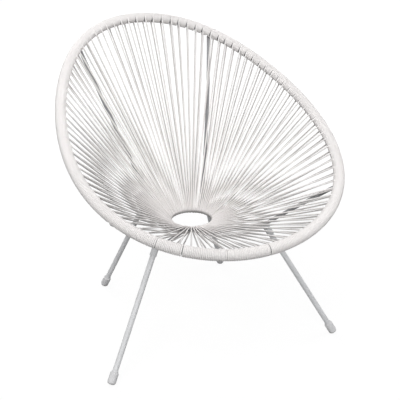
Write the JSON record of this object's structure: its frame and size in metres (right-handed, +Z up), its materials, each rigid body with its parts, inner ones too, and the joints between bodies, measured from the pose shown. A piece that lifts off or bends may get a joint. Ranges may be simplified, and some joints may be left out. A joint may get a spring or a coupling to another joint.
{
  "type": "string patio chair",
  "caption": "Patio chair with a radially strung cord seat on an egg-shaped hoop, a small open ring at the bottom, bent steel ribs and splayed plug-in legs with foot caps",
  "frame": {"origin": "on the floor, below the middle of the bounding box", "axes": "+Z up, the front of the chair faces -Y, +X to the viewer's right when looking from the front along +Y"},
  "size_m": [0.7185, 0.8912, 0.7617],
  "materials": {
    "frame_paint": "satin powder coat, cool light grey",
    "cord": "smooth round plastic cord, warm white",
    "foot_plastic": "matt moulded plastic, light grey"
  },
  "bodies": {
    "root": {"rib_back_left": "frame_paint", "socket_back_left": "frame_paint", "leg_back_left": "frame_paint", "foot_cap_back_left": "foot_plastic", "rib_back_right": "frame_paint", "socket_back_right": "frame_paint", "leg_back_right": "frame_paint", "foot_cap_back_right": "foot_plastic", "rib_front_left": "frame_paint", "socket_front_left": "frame_paint", "leg_front_left": "frame_paint", "foot_cap_front_left": "foot_plastic", "rib_front_right": "frame_paint", "socket_front_right": "frame_paint", "leg_front_right": "frame_paint", "foot_cap_front_right": "foot_plastic", "hoop_tube": "frame_paint", "ring_rod": "frame_paint", "seat_cord_01": "cord", "seat_cord_02": "cord", "seat_cord_03": "cord", "seat_cord_04": "cord", "seat_cord_05": "cord", "seat_cord_06": "cord", "seat_cord_07": "cord", "seat_cord_08": "cord", "seat_cord_09": "cord", "seat_cord_10": "cord", "seat_cord_11": "cord", "seat_cord_12": "cord", "seat_cord_13": "cord", "seat_cord_14": "cord", "seat_cord_15": "cord", "seat_cord_16": "cord"}
  },
  "joints": []
}
